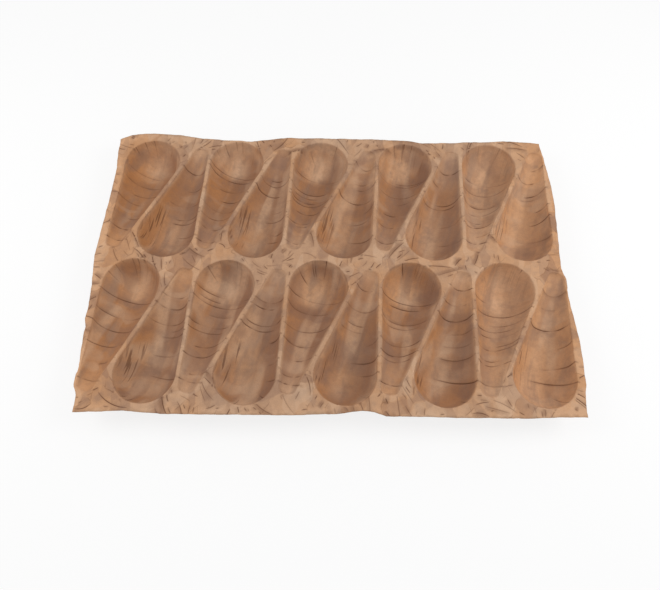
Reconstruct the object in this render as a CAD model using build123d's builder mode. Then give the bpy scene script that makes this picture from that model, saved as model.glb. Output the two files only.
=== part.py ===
"""Pressed paperboard tray that holds twenty pear-shaped fruit, ten pairs lying head to tail.

One sheet is drawn down into twenty pockets. Each pocket is a round cone lying on its side: a
big round end, a small round tip and straight sides between them. The mouths have rounded
rims, the big ends are pressed flat underneath so that the tray stands, and the cut edge of
the sheet wanders a little. +X runs along the tray, +Y to its far side and +Z up. The origin
is the middle of the footprint, on the surface that the tray stands on.
"""

import math
import os

from build123d import *

# The board and how it is pressed, mm
WALL = 1.2  # thickness of the board
RIM = 2.0  # rounding where the board turns down into a pocket
POCKET_DEPTH = 33.0  # from the top of the sheet to the flat at a pocket's bottom
FOOT_PRESS = 1.2  # how much of the round bottom is pressed flat

# One pocket, seen from above, mm and degrees
BIG_RADIUS = 36.5  # round big end
TIP_RADIUS = 10.0  # round tip
POCKET_AXIS = 131.0  # from the big end's centre to the tip's centre
LEAN = 14.1  # the pocket's axis from the tray's Y axis

# The pattern of pockets, mm
PAIRS = 5  # head-to-tail pairs along X
ROWS = 2  # rows of pairs along Y
HEAD_TO_TAIL = 113.0  # between the two big-end centres of a pair, along Y
DIAGONAL_RIDGE = 5.9  # board left between the two pockets of a pair
UPRIGHT_RIDGE = 5.4  # board left between neighbouring pairs
ROW_RIDGE = 4.0  # board left between the rows, at the big ends
LEFT_MARGIN = 10.9  # flange beyond the outermost pockets, at the left
RIGHT_MARGIN = 6.9  # the same at the right
END_MARGIN = 12.0  # the same at the far and the near side

# How finely the round forms are cut into flat facets
BIG_BANDS = 5  # bands along the axis from the big end's cap to the straight sides
TIP_BANDS = 2  # bands along the axis from the straight sides to the tip's cap
SECTION_SIDES = 11  # facets across a pocket, from rim to rim; an odd number has a flat bottom
RIM_BANDS = 2  # facets round the bend of a rim
CAP_SHARE = 0.5  # half the end cap's angle as a share of a band's

# The cut edge: (place along the side, how far inside the flange), both as shares.
# Places run from -1 to 1 over the sheet's half length or half width. The second share is
# of the free flange between the sheet's outer limit and the rims; it passes 1 where there is
# no pocket beside the edge.
FAR_EDGE_SHARES = [
    (-0.947, 0.29), (-0.885, 0.02), (-0.835, 0.0), (-0.72, 0.17), (-0.605, 0.72), (-0.45, 0.96),
    (-0.38, 1.10), (-0.325, 0.86), (-0.21, 0.40), (0.19, 0.44), (0.36, 0.55), (0.43, 0.95),
    (0.585, 0.95), (0.64, 0.72), (0.70, 0.72), (0.81, 0.41), (0.926, 0.62), (0.978, 0.80),
]
RIGHT_EDGE_SHARES = [
    (0.883, 1.10), (0.73, 0.42), (0.58, 0.0), (0.43, 0.10), (0.22, 0.64), (0.06, 1.30),
    (-0.04, 1.55), (-0.10, 0.93), (-0.24, 0.94), (-0.35, 0.66), (-0.52, 0.14), (-0.64, 0.16),
    (-0.80, 0.58), (-0.855, 1.15),
]
NEAR_EDGE_SHARES = [
    (0.975, 0.22), (0.89, 0.19), (0.755, 0.02), (0.53, 0.0), (0.217, 0.05), (0.172, 0.48),
    (0.128, 0.58), (0.04, 0.27), (-0.05, 0.15), (-0.14, 0.02), (-0.63, 0.0), (-0.69, 0.16),
    (-0.77, 0.32), (-0.90, 0.13), (-0.958, 0.08),
]
LEFT_EDGE_SHARES = [
    (-0.90, 1.36), (-0.865, 1.15), (-0.82, 0.965), (-0.70, 0.965), (-0.60, 0.80), (-0.48, 0.78),
    (-0.425, 0.52), (-0.366, 0.65), (-0.245, 0.52), (-0.12, 0.25), (0.0, 0.0), (0.14, 0.14),
    (0.343, 0.28), (0.414, 0.41), (0.70, 0.52), (0.785, 0.29), (0.943, 0.20),
]

# Worked out from the sizes above
taper = math.degrees(math.asin((BIG_RADIUS - TIP_RADIUS) / POCKET_AXIS))
depth_share = (POCKET_DEPTH + FOOT_PRESS - RIM) / BIG_RADIUS
height = POCKET_DEPTH + WALL
steep_side = math.radians(LEAN - taper)  # the side that stands nearly along Y
slant_side = math.radians(LEAN + taper)  # the side that faces the other pocket of a pair
pair_step = (2 * BIG_RADIUS + DIAGONAL_RIDGE - HEAD_TO_TAIL * math.sin(slant_side)) / math.cos(
    slant_side
)
pair_pitch = pair_step + (
    2 * BIG_RADIUS + UPRIGHT_RIDGE + HEAD_TO_TAIL * math.sin(steep_side)
) / math.cos(steep_side)
row_pitch = HEAD_TO_TAIL + 2 * BIG_RADIUS + ROW_RIDGE
tip_reach = POCKET_AXIS * math.sin(math.radians(LEAN)) + TIP_RADIUS
pattern_half = ((PAIRS - 1) * pair_pitch + pair_step) / 2 + max(tip_reach, BIG_RADIUS)
half_x = pattern_half + (LEFT_MARGIN + RIGHT_MARGIN) / 2
pattern_shift = (LEFT_MARGIN - RIGHT_MARGIN) / 2
half_y = ((ROWS - 1) * row_pitch + HEAD_TO_TAIL) / 2 + BIG_RADIUS + END_MARGIN
left_free = LEFT_MARGIN - RIM
right_free = RIGHT_MARGIN - RIM
end_free = END_MARGIN - RIM


def stations(grow):
    """Places along a pocket's axis and the half widths there, with both ends grown."""
    big_turn = 90 + taper
    tip_turn = 90 - taper
    found = []
    for band in range(BIG_BANDS + 1):
        turn = math.radians(big_turn * (band + CAP_SHARE) / (BIG_BANDS + CAP_SHARE))
        radius = BIG_RADIUS + grow
        found.append((-radius * math.cos(turn), radius * math.sin(turn)))
    for band in reversed(range(TIP_BANDS + 1)):
        turn = math.radians(tip_turn * (band + CAP_SHARE) / (TIP_BANDS + CAP_SHARE))
        radius = TIP_RADIUS + grow
        found.append((POCKET_AXIS + radius * math.cos(turn), radius * math.sin(turn)))
    return found


def skin(rings):
    """A body with flat facets from ring to ring, each of as many points, and flat ends."""
    corners = [[Vector(*point) for point in ring] for ring in rings]
    facets = [Face(Wire.make_polygon(corners[0])), Face(Wire.make_polygon(corners[-1]))]
    for ring, following in zip(corners, corners[1:]):
        for here in range(len(ring)):
            there = (here + 1) % len(ring)
            facet = [ring[here], ring[there], following[there], following[here]]
            facets.append(Face(Wire.make_polygon(facet)))
    return Solid(Shell(facets))


def bowl(grow):
    """The pocket below its rim, as a body: round sections across the axis, joined straight."""
    sections = []
    for along, half in stations(grow):
        section = []
        for side in range(SECTION_SIDES + 1):
            turn = math.radians(180 * side / SECTION_SIDES)
            drop = depth_share * half * math.sin(turn)
            section.append((along, half * math.cos(turn), -RIM - drop))
        sections.append(section)
    with BuildPart() as form:
        add(skin(sections))
        split(bisect_by=Plane.XY.offset(-POCKET_DEPTH - grow), keep=Keep.TOP)
    return form.part


def mouth(grow, level):
    """Outline of a pocket's mouth, grown on all sides, at a level below the top."""
    side = stations(grow)
    outline = side + [(along, -half) for along, half in reversed(side)]
    return [(along, half, -level) for along, half in outline]


def hollow():
    """What a pocket takes out of the sheet: the bowl and the flare of its rounded rim."""
    rings = []
    for band in range(RIM_BANDS + 1):
        turn = math.radians(90 * band / RIM_BANDS)
        rings.append(mouth(RIM - RIM * math.cos(turn), RIM - RIM * math.sin(turn)))
    with BuildPart() as form:
        add(bowl(0))
        add(skin(rings))
    return form.part


def shell():
    """What a pocket adds under the sheet: the bowl, grown by the board, and its neck."""
    with BuildPart() as form:
        add(bowl(WALL))
        add(skin([mouth(WALL, RIM), mouth(WALL, WALL / 2)]))
    return form.part


def places():
    """Where each pocket's big-end centre goes and how the pocket is turned."""
    found = []
    for row in range(ROWS):
        middle = ((ROWS - 1) / 2 - row) * row_pitch
        for pair in range(PAIRS):
            left = pattern_shift + (pair - (PAIRS - 1) / 2) * pair_pitch - pair_step / 2
            found.append(Location((left, middle + HEAD_TO_TAIL / 2, height), (0, 0, 270 - LEAN)))
            right = left + pair_step
            found.append(Location((right, middle - HEAD_TO_TAIL / 2, height), (0, 0, 90 - LEAN)))
    return found


def cut_edge():
    """The sheet's outline, clockwise from its far left corner."""
    points = [(half_x * along, half_y - end_free * inside) for along, inside in FAR_EDGE_SHARES]
    points += [(half_x - right_free * inside, half_y * along) for along, inside in RIGHT_EDGE_SHARES]
    points += [(half_x * along, -half_y + end_free * inside) for along, inside in NEAR_EDGE_SHARES]
    points += [(-half_x + left_free * inside, half_y * along) for along, inside in LEFT_EDGE_SHARES]
    return points


pocket_hollow = hollow()
pocket_shell = shell()

with BuildPart() as tray:
    with BuildSketch(Plane.XY.offset(height)):
        with BuildLine():
            Polyline(cut_edge(), close=True)
        make_face()
    extrude(amount=-WALL)
    with Locations(places()):
        add(pocket_shell)
    with Locations(places()):
        add(pocket_hollow, mode=Mode.SUBTRACT)

os.makedirs("parts", exist_ok=True)
tray.part.label = "tray"
export_step(tray.part, "parts/tray.step")
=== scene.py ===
"""Looks of a pressed fruit tray: one thin brown board with twenty teardrop pockets.

The board is one closed mesh that stands for the CAD node "tray". Its upper face, its underside
and its cut edge are worked out from formulas in whole numpy arrays: every pocket is a grid of
cross-sections with a rounded rim, and the flange between the pockets is a triangulated flat
with folds pressed into it. Lengths are in mm up to the mesh, and in m from there on.
"""

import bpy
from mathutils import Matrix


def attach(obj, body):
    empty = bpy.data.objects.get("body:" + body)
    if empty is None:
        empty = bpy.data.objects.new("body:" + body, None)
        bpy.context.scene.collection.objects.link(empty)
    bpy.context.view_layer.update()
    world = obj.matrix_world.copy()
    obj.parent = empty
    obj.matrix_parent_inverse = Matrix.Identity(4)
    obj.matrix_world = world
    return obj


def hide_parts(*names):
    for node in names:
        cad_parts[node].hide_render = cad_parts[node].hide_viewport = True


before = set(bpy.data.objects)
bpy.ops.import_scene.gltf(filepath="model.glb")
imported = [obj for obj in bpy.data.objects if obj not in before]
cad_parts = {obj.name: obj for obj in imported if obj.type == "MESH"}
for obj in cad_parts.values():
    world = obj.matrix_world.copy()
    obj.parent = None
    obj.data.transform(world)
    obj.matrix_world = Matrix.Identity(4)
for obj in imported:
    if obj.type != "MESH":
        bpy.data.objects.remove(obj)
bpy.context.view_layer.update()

import logging
import math
from dataclasses import dataclass, field, replace
from enum import Enum

import bpy
import numpy as np
from mathutils import Matrix, Vector
from mathutils.geometry import delaunay_2d_cdt

logging.basicConfig(level=logging.INFO, format="%(message)s")
log = logging.getLogger("tray")

MM = 0.001
QUARTER = math.pi / 2
# Layers: floor holds a painted highlight, crease and shade hold painted shade, and inside also sets
# how far the hollows' painted shade goes.
LAYERS = ("crease", "shade", "inside", "floor", "strokes")
Array = np.ndarray
Place = tuple[float, float, float]
Colour = tuple[float, float, float, float]
Output = bpy.types.NodeSocket
Socket = Output | float | Colour


def smooth(low: float, high: float, value: Array) -> Array:
    """Smooth step from 0 at low to 1 at high.

    Args:
        low: Where the step begins.
        high: Where the step ends; it may lie below low.
        value: Where the step is read.

    Returns:
        3h^2 - 2h^3 of the clipped share h between low and high.
    """
    share = np.clip((value - low) / (high - low), 0.0, 1.0)
    return share * share * (3.0 - 2.0 * share)


def hump(distance: Array, width: float) -> Array:
    """A bell of height 1: the exponential of minus the square of distance / width."""
    return np.exp(-((distance / width) ** 2))


def nearest(points: Array, corners: Array) -> Array:
    """Distance of each place to the nearest of the corners."""
    found = np.full(len(points), np.inf)
    for x, y in corners:
        found = np.minimum(found, np.hypot(points[:, 0] - x, points[:, 1] - y))
    return found


def inside_polygon(points: Array, polygon: Array) -> Array:
    """Whether places lie inside a closed polygon, by counting crossings to the right.

    Args:
        points: Places, one row each.
        polygon: Corners, one row each.

    Returns:
        True for each place inside.
    """
    found = np.zeros(len(points), bool)
    for (x0, y0), (x1, y1) in zip(polygon, np.roll(polygon, -1, axis=0)):
        if y0 == y1:
            continue
        crosses = (y0 > points[:, 1]) != (y1 > points[:, 1])
        at = x0 + (points[:, 1] - y0) / (y1 - y0) * (x1 - x0)
        found ^= crosses & (points[:, 0] < at)
    return found


def value_noise(points: Array, size: float, seed: int) -> Array:
    """Smooth noise between -1 and 1 over the plane.

    Random values stand on a square lattice, and between four of them the value follows the
    smooth step along both axes.

    Args:
        points: Places in mm, with x and y as the last axis.
        size: Distance between lattice points in mm.
        seed: Which noise.

    Returns:
        One value for each place.
    """
    side = 64
    table = np.random.default_rng(seed).uniform(-1.0, 1.0, (side, side))
    scaled = points / size + 17.31 * (seed % 13)
    cell = np.floor(scaled).astype(int)
    share = scaled - cell
    share = share * share * (3.0 - 2.0 * share)
    x0, y0 = cell[..., 0] % side, cell[..., 1] % side
    x1, y1 = (x0 + 1) % side, (y0 + 1) % side
    low = table[x0, y0] * (1 - share[..., 0]) + table[x1, y0] * share[..., 0]
    high = table[x0, y1] * (1 - share[..., 0]) + table[x1, y1] * share[..., 0]
    return low * (1 - share[..., 1]) + high * share[..., 1]


def folded_noise(points: Array, size: float, seed: int) -> Array:
    """Noise of straight folds, as in crumpled board, between about -1 and 1.

    It is a sum of triangle waves in random directions, each faded in and out by smooth noise.

    Args:
        points: Places, one row of two values each, in mm.
        size: Typical distance between folds in mm.
        seed: Which noise.

    Returns:
        One value for each place.
    """
    rng = np.random.default_rng(seed)
    waves = 4
    total = np.zeros(len(points))
    for wave in range(waves):
        turn = rng.uniform(0, math.pi)
        length = size * rng.uniform(0.7, 1.5)
        bend = value_noise(points, size * 3.0, seed + 31 * wave) * size * 0.35
        along = points[:, 0] * math.cos(turn) + points[:, 1] * math.sin(turn) + bend
        ramp = np.abs((along / length + rng.uniform()) % 1.0 - 0.5) * 4.0 - 1.0
        fade = 0.5 + 0.5 * value_noise(points, size * 1.7, seed + 7 + 13 * wave)
        total += ramp * fade
    return total / math.sqrt(waves)


class Noise(Enum):
    """The smooth noises of the board's shape, each with its size in mm and its seed."""

    SKEW = (21.0, 5)
    SAG = (27.0, 6)
    KINK = (13.0, 8)
    ROUGH = (17.0, 11)
    FINE = (8.0, 12)
    FRAY = (11.0, 14)
    WANDER = (19.0, 15)
    BROAD = (75.0, 21)
    BEND_X = (85.0, 31)
    BEND_Y = (85.0, 32)
    CUT = (11.0, 41)
    CUT_FINE = (3.1, 42)
    SWAY = (34.0, 51)

    def at(self, points: Array) -> Array:
        """Its values at places of the plan."""
        return value_noise(points, *self.value)


class Heading(Enum):
    """Which way a pocket's round big end lies."""

    FAR = 1
    NEAR = -1


@dataclass(frozen=True)
class Manner:
    """How the pockets of one heading differ from the others.

    Attributes:
        tip_bend: How much wider the rim's bend is at the tip's end, mm.
        tilt: How far folds lag behind at the rims, as a share of the half width.
        wrinkles: Short folds round the big end.
        highlight_at: The middle of the painted highlight on the pocket's round bottom, mm to the
            left of the axis.
        highlight_share: How strong that painted highlight is.
    """

    tip_bend: float
    tilt: float
    wrinkles: int
    highlight_at: float
    highlight_share: float


MANNERS = {
    Heading.FAR: Manner(2.6, -0.20, 4, 9.0, 1.0),
    Heading.NEAR: Manner(1.6, -0.13, 2, 4.0, 0.5),
}


@dataclass(frozen=True)
class PocketForm:
    """Sizes of one pocket, the same as in the CAD model but for the tip's wall.

    Attributes:
        big_radius, tip_radius: Radii of the mouth's two ends, mm.
        axis: Distance between their centres, mm.
        depth, press: From the sheet's top to the foot, and how far that is pressed in, mm.
        rim: Radius of the rim's bend, mm.
        big_slope, tip_slope: Slope of the wall at the rim of both ends, in radians.
        tip_lift: How much shallower the bottom is at the tip, mm.
        square: Power of the tip's outline: 2 is a circle, and more is squarer.
    """

    big_radius: float = 36.5
    tip_radius: float = 10.0
    axis: float = 131.0
    depth: float = 33.0
    press: float = 1.2
    rim: float = 2.0
    big_slope: float = 1.40
    tip_slope: float = 0.62
    tip_lift: float = 4.6
    square: float = 2.6

    @property
    def taper(self) -> float:
        """Angle between the pocket's side and its axis, in radians."""
        return math.asin((self.big_radius - self.tip_radius) / self.axis)

    def half_width(self, along: Array) -> Array:
        """Half width of the mouth across the axis.

        Args:
            along: Places on the axis, 0 at the big end's centre and axis at the tip's.

        Returns:
            The circle's height before the tangent point, and the straight side after it.
        """
        arc = np.sqrt(np.maximum(self.big_radius**2 - along**2, 0.0))
        line = (self.big_radius - along * math.sin(self.taper)) / math.cos(self.taper)
        return np.where(along < self.big_radius * math.sin(self.taper), arc, line)

    def tip_reach(self, turn: Array) -> Array:
        """Distance from the tip's centre to the mouth.

        Args:
            turn: Direction from the axis, between -90 and 90 degrees, in radians.

        Returns:
            The way to the straight side where the ray meets that first, and else the way to a
            squared circle, which turns into a plain circle beyond 60 degrees.
        """
        ahead = np.cos(turn)
        steep = np.abs(turn) > math.pi / 2 - self.taper
        line = self.tip_radius / np.sin(np.abs(turn) + self.taper)
        power = self.square
        square = (np.abs(ahead) ** power + np.abs(np.sin(turn)) ** power) ** (-1 / power)
        square = np.where(ahead > 0.5, square, 1.0 + (square - 1.0) * ahead * 2)
        return np.where(steep, line, self.tip_radius * square)

    def bottom(self, along: Array) -> Array:
        """Depth of the bottom under places of the axis, shallower towards the tip."""
        share = (self.depth + self.press - self.rim) / self.big_radius
        level = self.rim + share * self.half_width(along)
        return level - self.tip_lift * smooth(0.5, 1.0, along / self.axis)


@dataclass(frozen=True)
class Crease:
    """A fold across a pocket.

    Attributes:
        place: Where it crosses the axis, mm from the big end's centre.
        start, stop: Its two ends, -1 at one rim and 1 at the other.
        depth: How deep it is pressed, mm.
        shade: How strongly the board beside it is shaded, 0 to 1.
    """

    place: float
    start: float
    stop: float
    depth: float
    shade: float


@dataclass(frozen=True)
class Wrinkle:
    """A short fold that runs from the rim of the big end towards its centre.

    Attributes:
        turn: Its direction from the big end's centre, in radians, between 90 and 270 degrees.
        reach: How far down the wall it goes, as a share from rim to centre.
        depth: How deep it is pressed, mm.
    """

    turn: float
    reach: float
    depth: float


@dataclass
class Pocket:
    """One pocket in its place.

    Attributes:
        form: Its sizes.
        heading: Which way its big end lies.
        centre: Its big end's centre in plan, mm.
        lean: Its axis from the Y axis, in radians.
        seed: For its folds and waves.
        creases, wrinkles: Folds across it, and down the wall of its big end.
        side_shade_from, dull: Where its side of painted shade begins, mm to the left of its axis,
            and how
        strong that painted shade is, 0 to 1.
        end_clear: Least distance of a crease from the tip's centre, mm.
        near_short: Where the short creases at one rim of a near pocket's big end stop, mm.
        fan: Directions between which wrinkles lie, in radians.
    """

    form: PocketForm
    heading: Heading
    centre: tuple[float, float]
    lean: float
    seed: int
    creases: list[Crease] = field(default_factory=list)
    wrinkles: list[Wrinkle] = field(default_factory=list)
    side_shade_from: float = 0.0
    side_shade: float = 0.0
    end_clear: float = 12.0
    near_short: float = 55.0
    fan: tuple[float, float] = (2.6, 4.5)

    def __post_init__(self) -> None:
        """Draws the folds that this pocket has, and how strong the painted shade on its one side
        is.
        """
        rng = np.random.default_rng(self.seed)
        place = rng.uniform(3.0, 12.0)
        while place < self.form.axis - self.end_clear:
            start, stop = self.crease_ends(rng, place)
            depth, shade = rng.uniform(0.15, 0.6), rng.uniform() ** 2
            self.creases.append(Crease(place, start, stop, depth, shade))
            close = rng.uniform() < 0.2
            place += rng.uniform(5.0, 9.0) if close else rng.uniform(13.0, 27.0)
        if self.heading is Heading.FAR:
            place = self.form.axis - rng.uniform(1.5, 7.0)
            self.creases.append(Crease(place, -1.0, 1.0, 0.4, 0.5))
        for turn in np.sort(rng.uniform(*self.fan, self.manner.wrinkles)):
            reach, depth = rng.uniform(0.15, 0.55), rng.uniform(0.15, 0.6)
            self.wrinkles.append(Wrinkle(float(turn), reach, depth))
        self.side_shade_from, self.side_shade = rng.uniform(-7.0, 3.0), rng.uniform(0.25, 0.75)

    def crease_ends(self, rng: np.random.Generator, place: float) -> tuple[float, float]:
        """Draws from where to where a crease runs.

        Args:
            rng: Where the numbers come from.
            place: Where the crease crosses the axis, mm.

        Returns:
            Both ends: from one rim, right across, from the other rim, or in the middle only.
        """
        kind = rng.uniform()
        if kind < 0.45:
            start, stop = -1.0, rng.uniform(0.2, 1.0)
        elif kind < 0.65:
            start, stop = -1.0, 1.0
        elif kind < 0.85:
            start, stop = rng.uniform(-0.6, 0.3), 1.0
        else:
            start = rng.uniform(-0.9, 0.0)
            stop = start + rng.uniform(0.4, 0.8)
        if self.heading is Heading.FAR:
            return start, stop
        if place < self.near_short:
            return -1.0, rng.uniform(-0.6, 0.1)
        return -stop, -start

    @property
    def manner(self) -> Manner:
        """How pockets of its heading differ from the others."""
        return MANNERS[self.heading]

    @property
    def at_far_side(self) -> bool:
        """Whether its big end lies at the sheet's far side."""
        return self.centre[1] > 60.0

    def turned(self) -> Array:
        """Rows of the pocket's own axes in plan: along its axis, and across it."""
        angle = (1.5 * math.pi if self.heading is Heading.FAR else 0.5 * math.pi) - self.lean
        cos, sin = math.cos(angle), math.sin(angle)
        return np.array([[cos, sin], [-sin, cos]])

    def local(self, points: Array) -> Array:
        """Places of the tray's plan as (along, across) from the big end's centre."""
        return (points - np.array(self.centre)) @ self.turned().T

    def clearance(self, points: Array) -> Array:
        """Distance in plan from the mouth.

        A round cone's edge is at the distance of the nearest circle between its two ends.

        Args:
            points: Places of the tray's plan, mm.

        Returns:
            The distances in mm, below zero inside the mouth.
        """
        own = self.local(points)
        along, across = own[:, 0], np.abs(own[:, 1])
        shift = across * math.tan(self.form.taper)
        nearest_circle = np.clip(along - shift, 0.0, self.form.axis)
        radius = self.form.big_radius - nearest_circle * math.sin(self.form.taper)
        return np.hypot(along - nearest_circle, across) - radius


@dataclass(frozen=True)
class Surface:
    """A part of one face of the board.

    Attributes:
        points: One row each, mm.
        faces: Numbers of the points round each face.
        values: What the finish reads, one column for each name in LAYERS.
        local: The pockets' own coordinates, mm, with each pocket at a height of its own.
        border: Numbers of the outermost points, in the border's order.
    """

    points: Array
    faces: list[tuple[int, ...]]
    values: Array
    local: Array
    border: Array


def stacked(parts: list[Surface]) -> tuple[Surface, list[int]]:
    """Puts surfaces one after the other, with no border.

    Args:
        parts: The surfaces.

    Returns:
        The whole, and the number of each part's first point.
    """
    starts = np.cumsum([0] + [len(part.points) for part in parts[:-1]]).tolist()
    faces = [
        tuple(start + k for k in face) for start, part in zip(starts, parts) for face in part.faces
    ]
    tables = zip(*((part.points, part.values, part.local) for part in parts))
    points, values, local = (np.concatenate(table) for table in tables)
    return Surface(points, faces, values, local, np.empty(0, int)), starts


@dataclass(frozen=True)
class Fineness:
    """How finely one face of the board is built.

    Attributes:
        thickness: How far the face lies outside the upper one, mm: 0 for the upper one.
        wall_rows, rim_rows: Rows from keel to the bend of the rim, and over the bend.
        side_step: Distance between plain cross-sections, mm.
        fan_columns, tip_columns: Columns round the big end and round the tip.
        flange_step: Distance between the flange's points, mm.
        folded: Whether creases and wrinkles are pressed in, with columns of their own.
    """

    thickness: float = 0.0
    wall_rows: int = 12
    rim_rows: int = 4
    side_step: float = 4.0
    fan_columns: int = 40
    tip_columns: int = 12
    flange_step: float = 4.0
    folded: bool = True


def refined(
    plain: Array, folds: list[float], near: tuple[float, ...], clear: float, least: float
) -> Array:
    """Even places, with more of them beside each fold.

    Args:
        plain: The even places; the first and the last of them stay.
        folds: Where the folds are.
        near: The added places, as seen from a fold.
        clear: How far the other even places stay from those.
        least: The least distance of two places.

    Returns:
        All places in order.
    """
    extra = (np.array(folds)[:, None] + near).ravel()
    keep = np.min(np.abs(plain[:, None] - extra), axis=1) > clear
    keep[[0, -1]] = True
    extra = extra[(extra > plain[0] + clear * 2 / 3) & (extra < plain[-1] - clear * 2 / 3)]
    found = np.sort(np.concatenate([plain[keep], extra]))
    return found[np.append(True, np.diff(found) > least)]


@dataclass
class PatchMaker:
    """Works out one pocket's surface, as columns round the mouth and rows from keel to flange.

    A column starts on the keel, the axis in plan, and runs out to the flange. Its slope grows
    from 0 at the keel to the rim's slope, over an arc stretched to the half width and the
    depth there, and then goes back to 0 over the bend of the rim.

    Attributes:
        pocket: The pocket.
        face: How finely its face of the board is built.
        crease_width, notch_width: Half width of a fold, and of its mark on the rim, mm.
        crease_rows: Where columns of their own lie beside a crease, mm.
        wrinkle_rows: The same beside a wrinkle, in radians.
        wall_power: Spacing of the wall's rows: 1 for even, less for closer ones at the rim.
        foot_soft: How softly the wall turns into the foot, in square mm.

    And as arrays of columns, or of columns and rows, when it has been made:
        keel_of: For each column, the number of its point on the keel.
        keel, turn: Where that lies on the axis, mm, and the column's direction, in radians.
        sideways: Whether the column runs square to the axis.
        run, drop: How far each point lies from the keel and under the sheet's top, mm.
        slope: The surface's slope at the point, in radians.
        across, signed: Share of the way from keel to rim; signed is below zero on one side.
        own: Each point's place along the axis and across it, mm.
        lift: How far it is moved along the surface's normal, mm.
        mark, shade: The painted shade in a fold, and the painted shade beside a crease.
    """

    pocket: Pocket
    face: Fineness
    crease_width: float = 0.55
    notch_width: float = 0.8
    crease_rows: tuple[float, ...] = (-1.5, -0.7, 0.0, 0.7, 1.5)
    wrinkle_rows: tuple[float, ...] = (-0.035, -0.017, 0.0, 0.017, 0.035)
    wall_power: float = 0.92
    foot_soft: float = 0.02

    def __post_init__(self) -> None:
        """Lays the columns, the rows, the skew and the folds, one after the other."""
        self.lay_rows(self.lay_columns())
        self.lay_skew()
        self.lift = self.roughness()
        self.mark, self.shade = np.zeros_like(self.run), np.zeros_like(self.run)
        if self.face.folded:
            self.press_creases()
            self.press_wrinkles()

    def lay_columns(self) -> Array:
        """Lays the columns: down one side, round the tip, up the other side, round the big end.

        Returns:
            Each column's way from the keel to the mouth, mm.
        """
        form, face = self.pocket.form, self.face
        along = np.append(np.arange(0.0, form.axis, face.side_step), form.axis)
        tips = np.linspace(-QUARTER, QUARTER, face.tip_columns + 1)[1:-1]
        fan = np.linspace(QUARTER, 3 * QUARTER, face.fan_columns + 1)[1:-1]
        if face.folded:
            places = [crease.place for crease in self.pocket.creases]
            turns = [wrinkle.turn for wrinkle in self.pocket.wrinkles]
            along = refined(along, places, self.crease_rows, clear=1.2, least=0.3)
            fan = refined(fan, turns, self.wrinkle_rows, clear=0.03, least=0.008)
        numbers, widths = np.arange(len(along)), form.half_width(along)
        parts = (
            (numbers, -QUARTER, widths),
            (np.full(len(tips), numbers[-1]), tips, form.tip_reach(tips)),
            (numbers[::-1], QUARTER, widths[::-1]),
            (np.zeros(len(fan), int), fan, form.big_radius),
        )
        spread = [np.broadcast_arrays(*part) for part in parts]
        self.keel_of, turn, reach = (np.concatenate(found) for found in zip(*spread))
        self.keel, self.turn = along[self.keel_of][:, None], turn[:, None]
        self.sideways = np.isclose(np.abs(self.turn), QUARTER)
        return reach[:, None]

    def lay_rows(self, reach: Array) -> None:
        """Lays the rows over the wall and the bend of the rim.

        Down the wall the run follows the sine of the slope and the drop its cosine, each
        stretched between the keel and the rim. The lowest part is held above the foot's depth
        by a hyperbola.

        Args:
            reach: Each column's way from the keel to the mouth, mm.
        """
        form, thickness = self.pocket.form, self.face.thickness
        tipness = smooth(0.28, 0.97, self.keel / form.axis)
        steepest = form.big_slope + (form.tip_slope - form.big_slope) * tipness
        ahead = np.cos(self.turn) * (np.abs(self.turn) < QUARTER)
        rim = form.rim + 0.2 * tipness + self.pocket.manner.tip_bend * ahead**2
        out, border = rim - thickness, reach + form.rim
        wall = np.linspace(0.0, 1.0, self.face.wall_rows + 1)[None, :] ** self.wall_power
        slope = wall * steepest
        bend = np.linspace(1.0, 0.0, self.face.rim_rows + 1)[None, 1:] * steepest
        top_run = border - out * np.sin(steepest)
        top_drop = thickness + out * (1.0 - np.cos(steepest))
        deep = form.bottom(self.keel) + thickness - top_drop
        run = top_run * np.sin(slope) / np.sin(steepest)
        drop = top_drop + deep * (np.cos(slope) - np.cos(steepest)) / (1.0 - np.cos(steepest))
        lowest = form.depth + thickness
        drop = lowest - np.sqrt((lowest - drop) ** 2 * (drop < lowest) + self.foot_soft)
        self.run = np.concatenate([run, border - out * np.sin(bend)], axis=1)
        self.drop = np.concatenate([drop, thickness + out * (1.0 - np.cos(bend))], axis=1)
        self.slope = np.concatenate([slope, bend], axis=1)
        ones = np.ones_like(steepest)
        self.across = np.concatenate([wall * ones, np.ones_like(bend)], axis=1)
        self.signed = self.across * np.where(np.sin(self.turn) < 0, -1.0, 1.0)

    def lay_skew(self) -> None:
        """Skews and bows the cross-sections along the axis, so that no fold is quite square."""
        pocket, across, keel = self.pocket, self.across, self.keel
        form = pocket.form
        half = form.half_width(keel)
        window = smooth(0.0, 32.0, keel) * smooth(form.axis, form.axis - 16.0, keel)
        strip = np.stack([keel, np.full_like(keel, 3.3 * pocket.seed)], axis=-1)
        skew = Noise.SKEW.at(strip) * 3.0 + pocket.manner.tilt * half
        sag = Noise.SAG.at(strip) * 2.0 - 0.21 * half * pocket.heading.value
        wide = self.signed * half + 71.0 * pocket.seed
        kink = Noise.KINK.at(np.stack([keel + 0 * wide, wide], axis=-1)) * 1.4 * across
        shift = (skew * self.signed + sag * across**2 + kink) * window * self.sideways
        self.run = self.run + (form.half_width(keel + shift) - half) * across * self.sideways
        along = keel + shift + self.run * np.cos(self.turn)
        self.own = np.stack([along, self.run * np.sin(self.turn)], axis=-1)

    def noise(self, kind: Noise, offset: float) -> Array:
        """A noise over the unrolled surface, at an offset that grows with the pocket's seed."""
        place = np.stack([self.keel + 0 * self.signed, self.signed * 40.0], axis=-1)
        return kind.at(place + offset * self.pocket.seed)

    def roughness(self) -> Array:
        """How far the wall's waves lift each point: none at keel and rim, mm."""
        rough = self.noise(Noise.ROUGH, 91.0) * 0.55 + self.noise(Noise.FINE, 57.0) * 0.22
        lift = rough * smooth(0.0, 0.2, self.across) * np.where(self.sideways, 1.0, 0.55)
        lift[:, self.face.wall_rows] = 0.0
        return lift

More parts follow.
